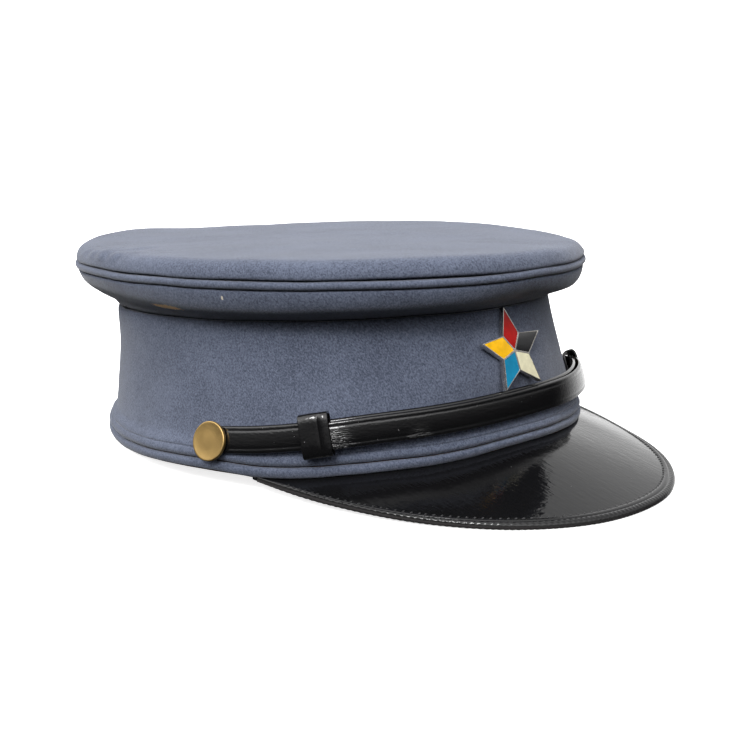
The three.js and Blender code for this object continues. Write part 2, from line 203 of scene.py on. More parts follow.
class Wire:
    """A socket of a node tree. Sums and products of wires add Math nodes."""

    def __init__(self, tree, socket=None):
        self.tree = tree
        self.socket = socket

    def feed(self, node, sockets):
        for key, value in sockets.items():
            if isinstance(value, Wire):
                self.tree.links.new(value.socket, node.inputs[key])
            else:
                node.inputs[key].default_value = value

    def add(self, kind, settings, sockets, output=0):
        node = self.tree.nodes.new(kind)
        for name, value in settings.items():
            setattr(node, name, value)
        self.feed(node, sockets)
        return Wire(self.tree, node.outputs[output])

    def maths(self, operation, first, second):
        return self.add("ShaderNodeMath", {"operation": operation}, {0: first, 1: second})

    def __add__(self, other):
        return self.maths("ADD", self, other)

    def __radd__(self, other):
        return self.maths("ADD", other, self)

    def __sub__(self, other):
        return self.maths("SUBTRACT", self, other)

    def __rsub__(self, other):
        return self.maths("SUBTRACT", other, self)

    def __mul__(self, other):
        return self.maths("MULTIPLY", self, other)

    def __rmul__(self, other):
        return self.maths("MULTIPLY", other, self)

    def between(self, low, high):
        """0 up to low, 1 from high on, eased between them."""
        sockets = {"Value": self, "From Min": low, "From Max": high}
        return self.add("ShaderNodeMapRange", {"interpolation_type": "SMOOTHSTEP"}, sockets)

    def colours(self, first, second):
        """The first colour where the wire is 0, the second where it is 1."""
        return self.add("ShaderNodeMix", {"data_type": "RGBA"}, {0: self, 6: first, 7: second}, 2)

    def grain(self, size, detail=2):
        """Cloudy noise on the wire as a place, its lumps as large as size in millimetres."""
        sockets = {"Vector": self, "Scale": 1 / (size * mm), "Detail": detail}
        return self.add("ShaderNodeTexNoise", {}, sockets)

    def stretched(self, scale, middle=(0, 0, 0), turn=(0, 0, 0)):
        """The wire as a place, moved so that middle is the origin, turned, then scaled on each axis."""
        moved = self.add("ShaderNodeVectorMath", {"operation": "SUBTRACT"}, {0: self, 1: middle})
        turned = self.add("ShaderNodeMapping", {}, {"Vector": moved, "Rotation": turn})
        return self.add("ShaderNodeMapping", {}, {"Vector": turned, "Scale": scale})

    def length(self):
        return self.add("ShaderNodeVectorMath", {"operation": "LENGTH"}, {0: self}, "Value")

    def relief(self, depth, strength=1):
        """Normal of a surface whose height in millimetres is the wire times depth."""
        sockets = {"Height": self, "Distance": depth * mm, "Strength": strength}
        return self.add("ShaderNodeBump", {}, sockets)


def new_finish(name, fixed):
    """A material with what is the same all over it set; gives it, its shader and its place wire."""
    material = bpy.data.materials.new(name)
    material.use_nodes = True
    tree = material.node_tree
    shader = tree.nodes["Principled BSDF"]
    place = Wire(tree).add("ShaderNodeTexCoord", {}, {}, "Object")
    place.feed(shader, fixed)
    return material, shader, place


wool_dark = (0.031, 0.037, 0.057, 1)
wool_light = (0.12, 0.139, 0.194, 1)


def wool_finish(name):
    """Fulled wool: mixed dark and light fibres, a nap brushed one way, and a soft bloom of loose fibre."""
    fixed = {"Sheen Weight": 0.21, "Sheen Roughness": 0.5, "Specular IOR Level": 0.15, "Roughness": 0.9}
    material, shader, place = new_finish(name, fixed)
    strokes = place.stretched((1, 1, 0.45), turn=(0.5, 0.35, 0)).grain(0.36, 3)
    flecks = place.grain(0.66, 2)
    clumps = place.grain(2.6, 3)
    clouds = place.grain(24, 3)
    mixture = strokes * 0.42 + flecks * 0.34 + clumps * 0.1 + clouds * 0.14
    nap = strokes * 0.8 + flecks * 0.5 + clumps * 0.2
    colour = mixture.between(0.3, 0.7).colours(wool_dark, wool_light)
    place.feed(shader, {"Base Color": colour, "Normal": nap.relief(0.2, 0.5)})
    return material, colour, shader, place


def fit(piece, finish, slot, *nodes):
    """The piece takes its finish and its place on the cap."""
    piece.data.materials.clear()
    piece.data.materials.append(finish)
    bpy.ops.object.select_all(action="DESELECT")
    piece.select_set(True)
    bpy.context.view_layer.objects.active = piece
    bpy.ops.object.shade_smooth_by_angle(angle=math.radians(50))
    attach(piece, "root")
    if nodes:
        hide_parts(*nodes)


# Shaping of the band in millimetres: in front it is turned under, set down on the peak by a share of its
# height and full behind the badge, and at the wearer's right it is full under the crown
turned_under = 1.6
set_down = 0.013
full_to_badge = 2.2
full_under_crown = 1.8
fullest_angle = 106


def shaped_band_point(angle, wide, tall, outward):
    turn = from_front(angle)
    foot = max(0, 1 - tall / 0.2)
    under = turned_under * foot * (1 - eased(turn, 15, 58))
    lower = set_down * foot * (1 - eased(turn, 60, 70))
    fuller = full_under_crown * eased(tall, 0.65, 0.93) * hump(angle, fullest_angle, 18)
    to_badge = eased(tall, 0.36, 0.52) * (1 - 0.85 * eased(tall, 0.6, 1))
    fuller += full_to_badge * to_badge * hump(turn, 0, 18)
    return band_point(angle, wide, tall - lower, outward - under + fuller)


band_thickness = 2.4

# Shares of the way out and up from rim to waist, and outward in millimetres
band_rows = [
    (0.068, 0.068, -1.9),
    (0.074, 0.074, -0.5),
    (0.098, 0.098, 0.5),
    (0.124, 0.124, 0.25),
    (0.134, 0.134, -0.45),
    (0.145, 0.145, -0.2),
    (0.165, 0.165, -0.6),
    (0.19, 0.19, -1.6),
    (0.25, 0.25, -2.1),
    (0.5, 0.5, -1.9),
    (0.8, 0.8, -1.4),
    (1.0, 0.995, -0.3),
]
wool = wool_finish("blue_grey_wool")[0]
band = sew_wall("head_band", band_rows, 3, shaped_band_point, band_thickness)
fit(band, wool, "wool_cloth", "band")

# Rim welt: a strip of the same cloth folded under the band and sewn along one seam.
# It lies on the table at the back, where its fold is pressed flat.
welt_thickness = 1.2
welt_rows = [
    (0.02, 0.024, -3.2),
    (0, 0.002, -2.2),
    (0.004, 0.004, -0.9),
    (0.022, 0.022, -0.1),
    (0.043, 0.043, 0.3),
    (0.061, 0.061, 0),
    (0.067, 0.067, -1.6),
]


def keep_above_table(piece):
    for vertex in piece.data.vertices:
        vertex.co.z = max(vertex.co.z, 0)


welt = sew_wall("rim_welt", welt_rows, 2, shaped_band_point, welt_thickness)
keep_above_table(welt)
fit(welt, wool, "wool_cloth", "band_welt")

# Sweatband: a strip of thin brown leather that stands inside the band.
# Its raw lower edge peeps out under the rim at the sides.
sweatband_thickness = 1.2
sweatband_rows = [
    (0, -0.024, -3.7),
    (0.1, 0.1, -4.5),
    (0.19, 0.19, -5.1),
    (0.35, 0.35, -5.5),
    (0.5, 0.5, -5.7),
]
leather_dark = (0.05, 0.021, 0.011, 1)
leather_light = (0.2, 0.08, 0.04, 1)
leather, leather_shader, leather_place = new_finish("brown_leather", {"Specular IOR Level": 0.35})
pebbles = leather_place.add(
    "ShaderNodeTexVoronoi", {"feature": "SMOOTH_F1"}, {"Vector": leather_place, "Scale": 1 / (1.1 * mm)}
)
rubbed = leather_place.grain(9, 4)
tanned = (rubbed * 0.8 + pebbles * 0.25).between(0.3, 0.75)
leather_place.feed(
    leather_shader,
    {
        "Base Color": tanned.colours(leather_dark, leather_light),
        "Roughness": rubbed * 0.4 + 0.35,
        "Normal": pebbles.relief(0.12),
    },
)


sweatband_lower = 0.035


def sweatband_point(angle, wide, tall, outward):
    """Point of the strip, which reaches lower behind the root of the peak."""
    lower = sweatband_lower * max(0, 1 - tall / 0.1) * (1 - eased(from_front(angle), 50, 66))
    return band_point(angle, wide, tall - lower, outward)


sweatband = sew_wall("sweatband_strip", sweatband_rows, 2, sweatband_point, sweatband_thickness)
keep_above_table(sweatband)
fit(sweatband, leather, "brown_leather", "sweatband")

# Lower crown: the cloth panel from the band out and up to the piping, slack enough to fold over the band.
# A tan scuff and a speck of lint sit on it at the wearer's right.
edge_oval = (92.8, 112.85, crown_set_back, 68.5, 0.85)
cloth_thickness = 2

# Shares of the way out and up from waist to piping, outward in millimetres, then the shares where the slack
# hangs fullest
side_rows = [
    (0.0, -0.16, -2.9, 0, -0.16),
    (0.0, 0.03, -1.6, 0, 0.03),
    (0.03, 0.01, 0, 0.03, 0),
    (0.14, 0.17, 0, 0.28, 0.12),
    (0.415, 0.32, 0, 0.56, 0.225),
    (0.61, 0.46, 0, 0.76, 0.305),
    (0.79, 0.59, 0, 0.88, 0.43),
    (0.9, 0.72, 0, 0.95, 0.6),
    (0.96, 0.85, 0, 0.99, 0.78),
    (0.99, 0.94, 0, 1.0, 0.92),
    (0.985, 0.99, -0.3, 0.99, 0.985),
    (0.98, 0.995, -1.8, 0.98, 0.995),
]


def side_point(angle, wide, tall, outward, full_wide, full_tall):
    """Point of the panel, whose slack hangs in front and less on the wearer's left."""
    turn = from_front(angle)
    full = eased(turn, -10, 25) * (1 - eased(turn, 58, 106))
    if angle > 180:
        full *= 1 - 0.5 * eased(turn, 35, 75)
    shares = mix(wide, full_wide, full), mix(tall, full_tall, full)
    return oval_point(oval_between(waist_oval, edge_oval, *shares), angle, outward)


marked_wool, marked_colour, marked_shader, marked_place = wool_finish("marked_blue_grey_wool")
scuff_middle = (-86.9 * mm, head_middle - 11.6 * mm, 61 * mm)
scuff_turn = (0, 0, -0.16)
scuff_scale = (480, 125, 800)
scuff_colour = (0.95, 0.6, 0.27, 1)
lint_middle = (-82.9 * mm, head_middle - 39.4 * mm, 66.3 * mm)
lint_scale = (2200, 2200, 1300)
lint_colour = (0.5, 0.45, 0.36, 1)


def mark(middle, turn, scale, colour, under):
    """A stain of the colour over the one under it, uneven at its edge."""
    reach = marked_place.stretched(scale, middle, turn).length()
    shape = reach + (marked_place.grain(0.7, 2) - 0.5) * 1.2
    return shape.between(1.1, 0.7).colours(under, colour)


marked_colour = mark(scuff_middle, scuff_turn, scuff_scale, scuff_colour, marked_colour)
marked_colour = mark(lint_middle, (0, 0, 0), lint_scale, lint_colour, marked_colour)
marked_place.feed(marked_shader, {"Base Color": marked_colour})
crown_side = sew_wall("lower_crown", side_rows, 2, side_point, cloth_thickness)
fit(crown_side, marked_wool, "wool_cloth", "crown_side")

# Piping: a narrow roll of the same cloth, folded lengthwise.
# It is sewn in between the two crown panels, so that two seams run round the crown.
piping_thickness = 0.8

# Share of the crown's edge oval, outward and rise in millimetres
piping_rows = [
    (1, -3, -1.6),
    (1, -2.7, 0.1),
    (1, -0.4, 0.15),
    (1, 0.6, 0.5),
    (1, 1, 1.5),
    (1, 0.6, 2.5),
    (1, -0.4, 2.85),
    (1, -2.7, 2.9),
    (1, -3, 4.6),
]

# Dents in the rolled edge of the crown, and where it stands fuller: angle, spread in degrees, depth
crown_dents = [
    (126, 30, 0.25),
    (-130, 30, 0.75),
    (-45, 40, 1.4),
    (112, 5, 0.4),
    (-150, 9, 0.6),
    (168, 12, -0.4),
    (150, 14, -0.7),
    (-172, 14, 1.4),
    (-100, 16, -0.7),
]


def crown_point(angle, share, outward, rise):
    half_width, half_length, set_back, height, tilt = edge_oval
    oval = (half_width * share, half_length * share, set_back, height + rise, tilt)
    point = oval_point(oval, angle, outward)
    edge = eased(rise, 3.5, 7.6) * eased(share, 0.6, 1)
    for middle, spread, depth in crown_dents:
        point.z -= depth * edge * hump(from_front(angle - middle), 0, spread) * mm
    return point


piping = sew_wall("crown_welt", piping_rows, 2, crown_point, piping_thickness)
fit(piping, wool, "wool_cloth", "crown_piping")

# Crown top: one flat oval panel of the cloth, turned down all round over a soft roll.
# It is sewn to the piping, dented along its edge, and creased at the wearer's right.
top_rows = [
    (1, -1.8, 3.3),
    (1, -0.2, 3.2),
    (1, 0.4, 3.95),
    (1, 0.2, 5.1),
    (1, -0.25, 6.4),
    (1, -1.05, 7.65),
    (1, -2.15, 8.6),
    (1, -3.45, 9.2),
    (1, -5.8, 9.55),
    (1, -14, 9.6),
    (0.72, 0, 9.5),
    (0.58, 0, 9.4),
    (0.44, 0, 9.35),
]
creased_at = oval_point(edge_oval, 98, -4) + Vector((0, 0, 8.5 * mm))
crease_spread = 20
crease_size = 7
crease_depth = 1.5


def crease(point):
    """Push of the creased cloth, which fades away from the crease and down to the seam."""
    near = hump((point - creased_at).length, 0, crease_spread * mm)
    near *= eased(point.z, creased_at.z - 4 * mm, creased_at.z - 1 * mm)
    return soft_waves(point, crease_size, crease_depth) * near


def sew_top():
    fine = smoothed(top_rows, 2)
    top = raise_loops(
        "crown_panel",
        head_columns,
        len(fine),
        lambda column, row: crown_point(360 * column / head_columns, *fine[row]),
    )
    bpy.ops.object.mode_set(mode="EDIT")
    bpy.ops.mesh.fill_grid(span=head_columns // 4)
    bpy.ops.object.mode_set(mode="OBJECT")
    face_outwards(top)
    finish_with(top, "SOLIDIFY", thickness=cloth_thickness * mm, offset=-1)
    finish_with(top, "SUBSURF", levels=1, render_levels=1)
    press(top, lambda point: soft_waves(point, 30, 0.4) + soft_waves(point, 10, 0.12))
    press(top, crease)
    return top


crown_top = sew_top()
fit(crown_top, wool, "wool_cloth", "crown_top")

# Peak: a stiff sheet of black patent leather, arched from its root under the rim to its outer edge.
# The lacquer is glossy, with fine lines from rolling that run front to back, and a little dust.
peak_thickness = 1.2
peak_arch = 0.2
peak_depth = 46
peak_root_outward = -3.4
peak_root_drop = 0.25

# Outer edge on one side in millimetres: angle at the root, sideways, forward, height of the sheet's middle
peak_side = [
    (61.5, 80.2, -48.6, 6.4),
    (53, 73, -78, 3.8),
    (41, 60.8, -106.2, 2),
    (27, 43.9, -128.7, 1.35),
    (13, 22.5, -143.2, 1.15),
]
peak_edge = [
    *peak_side,
    (0, 0, -147.6, 1.15),
    *((-angle, -side, forward, height) for angle, side, forward, height in reversed(peak_side)),
]


def peak_point(along, across):
    """Point of the sheet's middle: along its edge from the wearer's right, across from root to edge."""
    angle, side, forward, height = curve_at(peak_edge, along)
    edge = Vector((-side * mm, forward * mm + head_middle, height * mm))
    root = band_point(angle, 0, 0, peak_root_outward)
    root.z -= (peak_root_drop + peak_thickness / 2) * mm
    point = root.lerp(edge, across)
    point.z += peak_arch / peak_depth * (edge - root).length * 4 * across * (1 - across)
    return point


def peak_frame(along, across):
    """Axes on the sheet: along its edge, out from the head and up, at a point of its middle."""
    step = 0.003
    out = peak_point(along, across) - peak_point(along, across - step)
    side = peak_point(min(1, along + step), across) - peak_point(max(0, along - step), across)
    up = side.cross(out).normalized()
    if up.z < 0:
        up.negate()
    out.normalize()
    turned = Matrix((out.cross(up), out, up)).transposed().to_4x4()
    turned.translation = peak_point(along, across)
    return turned


patent_black = (0.004, 0.004, 0.0044, 1)
patent_dust = (0.12, 0.12, 0.12, 1)


def patent_finish(name, stretch, peel, relief, gloss=0.44, creases=()):
    """Black lacquered leather: lines and a fine peel in the lacquer, smears, dust, creases at places."""
    material, shader, place = new_finish(name, {"Specular IOR Level": gloss, "IOR": 1.5})
    surface = place.stretched(stretch).grain(0.9, 3) + place.grain(peel, 3)
    for middle in creases:
        streaks = place.stretched((0.2, 0.2, 1)).grain(0.5, 2)
        near = place.stretched((1, 1, 1), middle).length().between(7 * mm, 1 * mm)
        surface = surface + streaks * near * 11
    dust = place.grain(0.6, 0).between(0.88, 0.92)
    smears = place.grain(14, 4)
    sockets = {
        "Base Color": dust.colours(patent_black, patent_dust),
        "Roughness": smears.between(0.35, 0.75) * 0.08 + dust * 0.4 + 0.05,
        "Normal": surface.relief(relief),
    }
    place.feed(shader, sockets)
    return material


patent_sheet = patent_finish("patent_sheet", (1, 0.07, 0.3), 2.6, 0.065, 0.38)
peak_steps = 120
peak_columns = 18
bpy.ops.object.select_all(action="DESELECT")
bpy.ops.mesh.primitive_grid_add(x_subdivisions=peak_steps, y_subdivisions=peak_columns, size=1)
peak = bpy.context.object
peak.name = "peak_sheet"
for vertex in peak.data.vertices:
    vertex.co = peak_point(vertex.co.x + 0.5, vertex.co.y + 0.5)
face_outwards(peak)
if peak.data.polygons[0].normal.z < 0:
    peak.data.flip_normals()
finish_with(peak, "SOLIDIFY", thickness=peak_thickness * mm, offset=0)
finish_with(peak, "SUBSURF", levels=1, render_levels=1)
fit(peak, patent_sheet, "patent_leather", "peak")

# Peak binding: a strip of the same leather folded over the edge of the peak and sewn through, so that it
# stands as a puckered roll. Where its outer face turns downward it is painted a matt grey: a painted
# reflection of the pale table, together with some wear. It is pressed flat on the wearer's left.
binding_slot = peak_thickness / 2 + 0.15
binding_inner = -3.8
binding_fold = 0.1

# Upper half of its section in millimetres, out along the sheet and up from the slot
binding_upper = [
    (binding_inner, -0.08),
    (-3.6, 0.1),
    (-3.1, 0.3),
    (-2.5, 0.38),
    (-2.1, 0.34),
    (-1.85, 0.2),
    (-1.55, 0.42),
    (-0.9, 0.55),
    (-0.2, 0.45),
    (0.4, 0.05),
    (0.75, -0.4),
]
binding_outline = [(out, binding_slot + up) for out, up in binding_upper]
binding_outline += [(out, -up) for out, up in reversed(binding_outline)]
binding_outline += [(out, -binding_slot) for out in (binding_inner, binding_fold)]
binding_outline += [(out, binding_slot) for out in (binding_fold, binding_inner)]
binding_from = 0.012
binding_steps = 640
pucker_count = 135
pucker_depth = 0.07
pressed_from = 0.76
pressed_to = 0.86


def close_ends(piece):
    bpy.context.view_layer.objects.active = piece
    bpy.ops.object.mode_set(mode="EDIT")
    bpy.ops.mesh.select_all(action="SELECT")
    bpy.ops.mesh.fill_holes(sides=0)
    bpy.ops.object.mode_set(mode="OBJECT")
    face_outwards(piece)


def binding_place(column, row):
    share = row / (binding_steps - 1)
    out, up = binding_outline[column]
    if out > -1.2:
        up *= 1 + pucker_depth * math.cos(math.tau * pucker_count * share)
    full = mix(0.2, 1, eased(min(share, 1 - share), 0, 0.06))
    out *= full
    pressed = mix(1, 0.25, eased(share, pressed_from, pressed_to))
    up = math.copysign(binding_slot + (abs(up) - binding_slot) * full * pressed, up)
    return peak_frame(mix(binding_from, 1 - binding_from, share), 1) @ Vector((0, out * mm, up * mm))


binding = raise_loops("peak_edge_binding", len(binding_outline), binding_steps, binding_place)
close_ends(binding)
keep_above_table(binding)
patent_strip = patent_finish("patent_strip", (1, 1, 1), 0.8, 0.045, 0.34)
# Painted reflection and wear: faces turned downward are painted matt grey, standing in for the pale table's
# reflection as well as wear
downward_grey_wear_and_reflection = binding.data.attributes.new("downward_grey_wear_and_reflection", "FLOAT", "POINT")
for vertex in binding.data.vertices:
    downward_grey_wear_and_reflection.data[vertex.index].value = 1 - eased(vertex.normal.z, -0.2, 0.3)
strip = Wire(patent_strip.node_tree)
worn_and_reflected = strip.add("ShaderNodeAttribute", {"attribute_name": "downward_grey_wear_and_reflection"}, {}, "Fac")
worn_and_reflected_look = {
    "Base Color": worn_and_reflected.colours(patent_black, (0.05, 0.047, 0.047, 1)),
    "Roughness": worn_and_reflected * 0.3 + 0.08,
}
strip.feed(patent_strip.node_tree.nodes["Principled BSDF"], worn_and_reflected_look)
fit(binding, patent_strip, "patent_leather", "peak_binding")

# Stitches of the binding: one row of black waxed thread along its inner edge.
# Each stitch lies a little slanted, with its ends pulled into the leather.
stitch_pitch = 2.5
stitch_length = 1.9
stitch_radius = 0.34
stitch_pull = 0.3
stitch_inset = 4.05
stitch_slant = math.radians(14)
run_steps = 400
stitched_from = 0.055
thread, thread_shader, thread_place = new_finish("black_thread", {"Specular IOR Level": 0.5})
strands = thread_place.grain(0.25, 1)
thread_place.feed(
    thread_shader,
    {
        "Base Color": strands.colours((0.004, 0.004, 0.004, 1), (0.03, 0.03, 0.032, 1)),
        "Roughness": strands * 0.2 + 0.15,
        "Normal": strands.relief(0.1),
    },
)
bpy.ops.object.select_all(action="DESELECT")
bpy.ops.mesh.primitive_uv_sphere_add(segments=8, ring_count=6, radius=stitch_radius * mm)
stitch = bpy.context.object
for vertex in stitch.data.vertices:
    vertex.co = vertex.co.zyx
    reach = vertex.co.x / (stitch_radius * mm)
    vertex.co.x *= stitch_length / 2 / stitch_radius
    vertex.co.z -= stitch_pull * reach * reach * mm

run_places = [mix(stitched_from, 1 - stitched_from, k / run_steps) for k in range(run_steps + 1)]
binding_run = [peak_point(place, 1) for place in run_places]
run_lengths = [0]
for first, second in zip(binding_run, binding_run[1:]):
    run_lengths.append(run_lengths[-1] + (second - first).length)
stitch_count = int(run_lengths[-1] / (stitch_pitch * mm))
stitches = []
for k in range(1, stitch_count):
    wanted = k * stitch_pitch * mm
    step = next(i for i, length in enumerate(run_lengths) if length >= wanted)
    along = run_places[step]
    copy = stitch.copy()
    copy.data = stitch.data.copy()
    sunk = 0.22 * eased(along, pressed_from, pressed_to)
    seat = Matrix.Translation((0, -stitch_inset * mm, (peak_thickness / 2 + 0.04 - sunk) * mm))
    copy.data.transform(peak_frame(along, 1) @ seat @ Matrix.Rotation(stitch_slant, 4, "Z"))
    bpy.context.scene.collection.objects.link(copy)
    stitches.append(copy)
bpy.data.objects.remove(stitch)
bpy.ops.object.select_all(action="DESELECT")
for copy in stitches:
    copy.select_set(True)
bpy.context.view_layer.objects.active = stitches[0]
bpy.ops.object.join()
binding_stitches = bpy.context.object
binding_stitches.name = "binding_stitches"
fit(binding_stitches, thread, "patent_leather")

# Chin strap: two lengths of patent leather with pressed borders, each held by a button on one side.
# They lie double across the front, the left length over the right, and each ends in the other's slide.
strap_width = 9.4
strap_thickness = 1.5
strap_round = 0.75
strap_full = 0.34
strap_line_inset = 1.7
strap_line_depth = 0.1
strap_line_width = 0.35
button_end = 73
doubled_rise = 2.1
doubled_drop = 0.006
right_slide_angle = 47.3
left_slide_angle = -51.5

# Angle, height share of the middle, outward in millimetres at the lower and upper edge
strap_rows = [
    (-button_end, 0.178, 0.5, -0.2),
    (-62, 0.235, 0.9, 0.6),
    (-48.5, 0.295, 1.3, 1.6),
    (-35, 0.312, 0.6, 0.9),
    (-18, 0.315, -0.7, 0.4),
    (0, 0.318, -1.4, -0.2),
    (20, 0.308, -0.8, 0.3),
    (35, 0.292, 0.5, 1.4),
    (48.5, 0.26, 1.2, 1.6),
    (60, 0.23, 0.9, 0.7),
    (button_end, 0.194, 0.5, -0.2),
]


def band_frame(edges_at, angle):
    """Axes on the band along it, up it and out of it, between two edges."""

    def middle_at(place):
        lower, upper = edges_at(place)
        return (lower + upper) / 2

    lower, upper = edges_at(angle)
    along = (middle_at(angle - 1) - middle_at(angle + 1)).normalized()
    up = upper - lower
    up = (up - along * along.dot(up)).normalized()
    turned = Matrix((along, up, along.cross(up))).transposed().to_4x4()
    turned.translation = middle_at(angle)
    return turned


def strap_frame(angle, layer):
    reach = strap_width / 2 / (waist_oval[3] - rim_oval[3])

    def edges_at(place):
        tall, lower, upper = drawn_through(strap_rows, place)
        low = tall - layer * doubled_drop - reach
        high = low + 2 * reach
        rise = layer * doubled_rise
        return band_point(place, low, low, lower + rise), band_point(place, high, high, upper + rise)

    return band_frame(edges_at, angle)


def strap_height(across):
    """Height of the strap's face: rounded edges, a pressed line along each, a full middle."""
    edge = strap_width / 2 - abs(across)
    rounded = strap_round * math.sqrt(1 - (1 - min(1, edge / strap_round)) ** 2)
    pressed = strap_line_depth * hump(edge, strap_line_inset, strap_line_width)
    return strap_thickness - 1 + rounded - pressed + strap_full * (1 - (2 * across / strap_width) ** 2)


strap_columns = 50
strap_outline = []
for k in range(strap_columns):
    across = mix(-strap_width / 2, strap_width / 2, k / (strap_columns - 1))
    strap_outline.append((across, strap_height(across)))
strap_outline += [(strap_width / 2, 0), (0, 0), (-strap_width / 2, 0)]
strap_steps = 150


def cut_strap(name, start, end, layer_at):
    def place(column, row):
        angle = mix(start, end, row / (strap_steps - 1))
        across, out = strap_outline[column]
        return strap_frame(angle, layer_at(angle)) @ Vector((0, across * mm, out * mm))

    strap = raise_loops(name, len(strap_outline), strap_steps, place)
    close_ends(strap)
    return strap


strap_creases = [(-64.5 * mm, -63.5 * mm, 20 * mm), (-42.7 * mm, -79.5 * mm, 19.5 * mm)]
patent_strap = patent_finish("patent_strap", (0.25, 0.25, 1), 0.7, 0.05, creases=strap_creases)
right_strap = cut_strap("right_strap", button_end, left_slide_angle - 2, lambda angle: 0)
left_strap = cut_strap(
    "left_strap", right_slide_angle + 2, -button_end, lambda angle: eased(angle, -66, -52)
)
fit(right_strap, patent_strap, "patent_leather", "strap_right")
fit(left_strap, patent_strap, "patent_leather", "strap_left")

# Slides: short loops of patent leather wrapped round both lengths of the strap, round at the corners.
# The lap where the ends of the strip are glued stands up as a low roll along one side of the face.
slide_width = 9.9
slide_wall = 0.8
slide_low = -strap_width / 2 - 2
slide_back = -0.4
slide_front = strap_thickness * 2 + 0.9
slide_columns = 72
slide_loops = 25
patent_slide = patent_finish("patent_slide", (1, 1, 1), 2.2, 0.05)


def slide_place_round(share, clear):
    """Point on the loop's inside, a rectangle with round corners that stands clear above the strap."""
    turn = math.tau * share
    reach = [math.copysign(abs(part) ** 0.42, part) for part in (math.cos(turn), math.sin(turn))]
    up = mix(slide_low, strap_width / 2 + clear, reach[0] / 2 + 0.5)
    out = mix(slide_back, slide_front, reach[1] / 2 + 0.5)
    return up, out


def round_edges(piece, width, segments, angle):
    """Bevels every edge that turns by more than the angle."""
    limit = {"limit_method": "ANGLE", "angle_limit": math.radians(angle)}
    finish_with(piece, "BEVEL", width=width * mm, segments=segments, **limit)


def wrap_slide(name, angle, lean, clear, node):
    axes = strap_frame(angle, 0) @ Matrix.Rotation(math.radians(lean), 4, "Z")

    def place(column, row):
        up, out = slide_place_round(column / slide_columns, clear)
        share = row / (slide_loops - 1)
        along = mix(-slide_width / 2, slide_width / 2, share)
        lap = 0.35 * hump(share, 0.84, 0.12) - 0.2 * hump(share, 0.66, 0.05)
        out += eased(out, 0, slide_front) * lap
        return axes @ Vector((along * mm, up * mm, out * mm))

    slide = raise_loops(name, slide_columns, slide_loops, place)
    face_outwards(slide)
    finish_with(slide, "SOLIDIFY", thickness=slide_wall * mm, offset=1)
    round_edges(slide, 0.25, 3, 50)
    press(slide, lambda point: soft_waves(point, 5, 0.12))
    fit(slide, patent_slide, "patent_leather", node)


wrap_slide("right_slide", right_slide_angle, 2, 1.9, "slide_right")
wrap_slide("left_slide", left_slide_angle, -14, 0.5, "slide_left")

# Buttons: plain turned brass discs with a raised rim and dulled lacquer.
# Each is held by a post through strap and band.
button_radius = 6.8
button_thickness = 1.3
button_angle = 69.8
post_radius = 1.2
post_length = 5.5
seam_gap = 0.3
brass, brass_shader, brass_place = new_finish("antique_brass", {"Metallic": 1})
tarnish = brass_place.grain(4, 4)
brushed = brass_place.stretched((1, 1, 6)).grain(0.5, 2)
brass_place.feed(
    brass_shader,
    {
        "Base Color": tarnish.between(0.3, 0.7).colours((0.42, 0.28, 0.107, 1), (0.45, 0.302, 0.116, 1)),
        "Roughness": tarnish * 0.08 + brushed * 0.08 + 0.33,
        "Normal": brushed.relief(0.02),
    },
)


def select_faces(piece, wanted):
    bpy.ops.object.mode_set(mode="EDIT")
    bpy.ops.mesh.select_all(action="DESELECT")
    bpy.ops.object.mode_set(mode="OBJECT")
    for face in piece.data.polygons:
        face.select = wanted(face)
    bpy.ops.object.mode_set(mode="EDIT")
    bpy.ops.mesh.select_mode(type="FACE")


def turn_button(name, side, node):
    bpy.ops.object.select_all(action="DESELECT")
    bpy.ops.mesh.primitive_cylinder_add(vertices=72, radius=button_radius * mm, depth=button_thickness * mm)
    button = bpy.context.object
    button.name = name
    select_faces(button, lambda face: face.normal.z > 0.9)
    bpy.ops.mesh.inset(thickness=0.6 * mm)
    bpy.ops.mesh.inset(thickness=0.5 * mm, depth=-0.1 * mm)
    bpy.ops.mesh.inset(thickness=3 * mm, depth=0.05 * mm)
    select_faces(button, lambda face: face.normal.z < -0.9)
    bpy.ops.mesh.inset(thickness=(button_radius - post_radius) * mm)
    bpy.ops.mesh.extrude_region_move(TRANSFORM_OT_translate={"value": (0, 0, -post_length * mm)})
    bpy.ops.object.mode_set(mode="OBJECT")
    round_edges(button, 0.3, 4, 40)
    seat = Matrix.Translation((0, -0.7 * mm, (strap_thickness + seam_gap + button_thickness / 2) * mm))
    button.data.transform(strap_frame(side * button_angle, 0) @ seat)
    fit(button, brass, "brass", node)


turn_button("right_button", 1, "button_right")
turn_button("left_button", -1, "button_left")

# Star badge: a five-pointed nickel plate with five open cells, flat against the band.
# One plain post on its back goes through the band and holds it.
star_radius = 15.5
star_waist = 7
star_thickness = 2
star_turn = 1.8
cell_wall = 0.3
cell_depth = 0.7
cell_area = 20
badge_post_length = 5
badge_post_middle = -2
nickel, nickel_shader, nickel_place = new_finish("polished_nickel", {"Metallic": 1})
nickel_wear = nickel_place.grain(2.5, 4)
nickel_place.feed(
    nickel_shader,
    {
        "Base Color": nickel_wear.between(0.3, 0.7).colours((0.58, 0.55, 0.51, 1), (0.84, 0.81, 0.76, 1)),
        "Roughness": nickel_wear * 0.3 + 0.08,
        "Normal": nickel_wear.relief(0.02),
    },
)


def badge_edges(angle):
    return band_point(angle, 0.41, 0.41, 0.9), band_point(angle, 0.95, 0.95, -0.1)


badge_axes = band_frame(badge_edges, 0) @ Matrix.Translation((-0.8 * mm, 0, 0))
badge_axes = badge_axes @ Matrix.Rotation(math.radians(star_turn), 4, "Z")

